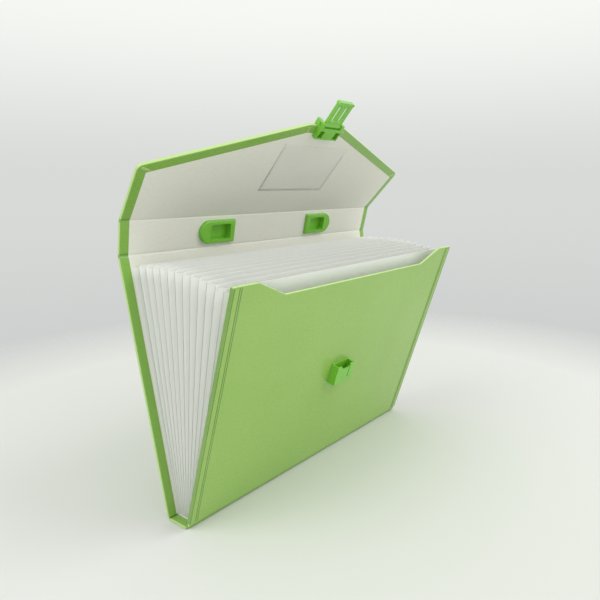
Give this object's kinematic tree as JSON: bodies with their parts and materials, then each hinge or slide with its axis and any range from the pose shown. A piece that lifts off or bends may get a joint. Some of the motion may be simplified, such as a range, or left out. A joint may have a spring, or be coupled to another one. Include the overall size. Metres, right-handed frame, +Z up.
{
  "type": "accordion file folder",
  "caption": "Expanding file folder with pleated gussets, film pocket dividers, a notched front, a pointed flap with a hinged clasp and catch, and a carry strap.",
  "frame": {"origin": "middle of the underside of the bottom panel", "axes": "+X along the folds to the right as seen from the front, -Y out of the front panel, +Z up"},
  "size_m": [0.3412, 0.133, 0.3511],
  "materials": {
    "cover": "satin",
    "board": "matte",
    "lining": "matte",
    "fold": "satin",
    "binding": "satin",
    "film": "satin",
    "clear_film": "gloss",
    "fitting": "gloss",
    "strap": "satin"
  },
  "bodies": {
    "base": {"bottom_cover": "cover", "bottom_board": "board", "bottom_lining": "lining", "pocket_base": "film", "front_fold_strip": "fold", "back_fold_strip": "fold", "gusset_left": "film", "gusset_right": "film"},
    "back_panel": {"back_cover": "cover", "back_board": "board", "back_lining": "lining", "top_fold_strip": "fold"},
    "top_panel": {"top_cover": "cover", "top_board": "board", "top_lining": "lining", "flap_fold_strip": "fold", "handle_mount_left": "fitting", "handle_mount_right": "fitting", "handle_cap_left": "fitting", "handle_cap_right": "fitting"},
    "flap": {"flap_cover": "cover", "flap_board": "board", "flap_lining": "lining", "card_pocket": "clear_film", "clasp_base": "fitting", "clasp_plate": "fitting"},
    "clasp_lever": {"clasp_tongue": "fitting"},
    "carry_handle": {"carry_strap": "strap"},
    "front_panel": {"front_cover": "cover", "front_board": "board", "front_lining": "lining", "front_binding_left": "binding", "front_binding_right": "binding", "catch": "fitting"},
    "divider_1": {"divider_1": "film"},
    "divider_2": {"divider_2": "film"},
    "divider_3": {"divider_3": "film"},
    "divider_4": {"divider_4": "film"},
    "divider_5": {"divider_5": "film"},
    "divider_6": {"divider_6": "film"},
    "divider_7": {"divider_7": "film"},
    "divider_8": {"divider_8": "film"},
    "divider_9": {"divider_9": "film"},
    "divider_10": {"divider_10": "film"},
    "divider_11": {"divider_11": "film"},
    "divider_12": {"divider_12": "film"}
  },
  "joints": [
    {"name": "back_fold", "type": "hinge", "parent": "base", "child": "back_panel", "pos_m": [0, 0.012, 0.0015], "axis": [1, 0, 0], "range_deg": [-4.7, 6.88]},
    {"name": "top_fold", "type": "hinge", "parent": "back_panel", "child": "top_panel", "pos_m": [0, 0.03933, 0.22987], "axis": [1, 0, 0], "range_deg": [-42.05, 61.73]},
    {"name": "flap_fold", "type": "hinge", "parent": "top_panel", "child": "flap", "pos_m": [0, 0.03183, 0.25788], "axis": [1, 0, 0], "range_deg": [-110, 65.5]},
    {"name": "clasp_hinge", "type": "hinge", "parent": "flap", "child": "clasp_lever", "pos_m": [0, -0.0448, 0.33263], "axis": [1, 0, 0], "range_deg": [-80, 0]},
    {"name": "handle_pull", "type": "slide", "parent": "top_panel", "child": "carry_handle", "axis": [0, 0.9659, 0.2588], "range_m": [0, 0.02], "deforming": ["carry_strap"]},
    {"name": "front_fold", "type": "hinge", "parent": "base", "child": "front_panel", "pos_m": [0, -0.012, 0.0015], "axis": [-1, 0, 0], "range_deg": [-12.62, 18.52], "deforming": ["gusset_left", "gusset_right"]},
    {"name": "divider_fold_1", "type": "hinge", "parent": "base", "child": "divider_1", "pos_m": [0, 0.00902, 0.00345], "axis": [1, 0, 0], "range_deg": [-3.37, 4.92]},
    {"name": "divider_fold_2", "type": "hinge", "parent": "base", "child": "divider_2", "pos_m": [0, 0.00732, 0.00345], "axis": [1, 0, 0], "range_deg": [-2.04, 2.98]},
    {"name": "divider_fold_3", "type": "hinge", "parent": "base", "child": "divider_3", "pos_m": [0, 0.00562, 0.00345], "axis": [1, 0, 0], "range_deg": [-0.71, 1.02]},
    {"name": "divider_fold_4", "type": "hinge", "parent": "base", "child": "divider_4", "pos_m": [0, 0.00392, 0.00345], "axis": [1, 0, 0], "range_deg": [-1.02, 0.71]},
    {"name": "divider_fold_5", "type": "hinge", "parent": "base", "child": "divider_5", "pos_m": [0, 0.00222, 0.00345], "axis": [1, 0, 0], "range_deg": [-2.98, 2.04]},
    {"name": "divider_fold_6", "type": "hinge", "parent": "base", "child": "divider_6", "pos_m": [0, 0.00052, 0.00345], "axis": [1, 0, 0], "range_deg": [-4.92, 3.37]},
    {"name": "divider_fold_7", "type": "hinge", "parent": "base", "child": "divider_7", "pos_m": [0, -0.00118, 0.00345], "axis": [1, 0, 0], "range_deg": [-6.88, 4.7]},
    {"name": "divider_fold_8", "type": "hinge", "parent": "base", "child": "divider_8", "pos_m": [0, -0.00288, 0.00345], "axis": [1, 0, 0], "range_deg": [-8.82, 6.03]},
    {"name": "divider_fold_9", "type": "hinge", "parent": "base", "child": "divider_9", "pos_m": [0, -0.00458, 0.00345], "axis": [1, 0, 0], "range_deg": [-10.78, 7.35]},
    {"name": "divider_fold_10", "type": "hinge", "parent": "base", "child": "divider_10", "pos_m": [0, -0.00629, 0.00345], "axis": [1, 0, 0], "range_deg": [-12.72, 8.68]},
    {"name": "divider_fold_11", "type": "hinge", "parent": "base", "child": "divider_11", "pos_m": [0, -0.00799, 0.00345], "axis": [1, 0, 0], "range_deg": [-14.68, 10.01]},
    {"name": "divider_fold_12", "type": "hinge", "parent": "base", "child": "divider_12", "pos_m": [0, -0.00969, 0.00345], "axis": [1, 0, 0], "range_deg": [-16.62, 11.34]}
  ],
  "couplings": [
    {"joint": "top_fold", "follows": "front_fold", "ratio": 3.3293},
    {"joint": "back_fold", "follows": "front_fold", "ratio": 0.36842},
    {"joint": "divider_fold_1", "follows": "front_fold", "ratio": 0.26316},
    {"joint": "divider_fold_2", "follows": "front_fold", "ratio": 0.15789},
    {"joint": "divider_fold_3", "follows": "front_fold", "ratio": 0.052632},
    {"joint": "divider_fold_4", "follows": "front_fold", "ratio": -0.052632},
    {"joint": "divider_fold_5", "follows": "front_fold", "ratio": -0.15789},
    {"joint": "divider_fold_6", "follows": "front_fold", "ratio": -0.26316},
    {"joint": "divider_fold_7", "follows": "front_fold", "ratio": -0.36842},
    {"joint": "divider_fold_8", "follows": "front_fold", "ratio": -0.47368},
    {"joint": "divider_fold_9", "follows": "front_fold", "ratio": -0.57895},
    {"joint": "divider_fold_10", "follows": "front_fold", "ratio": -0.68421},
    {"joint": "divider_fold_11", "follows": "front_fold", "ratio": -0.78947},
    {"joint": "divider_fold_12", "follows": "front_fold", "ratio": -0.89474}
  ]
}
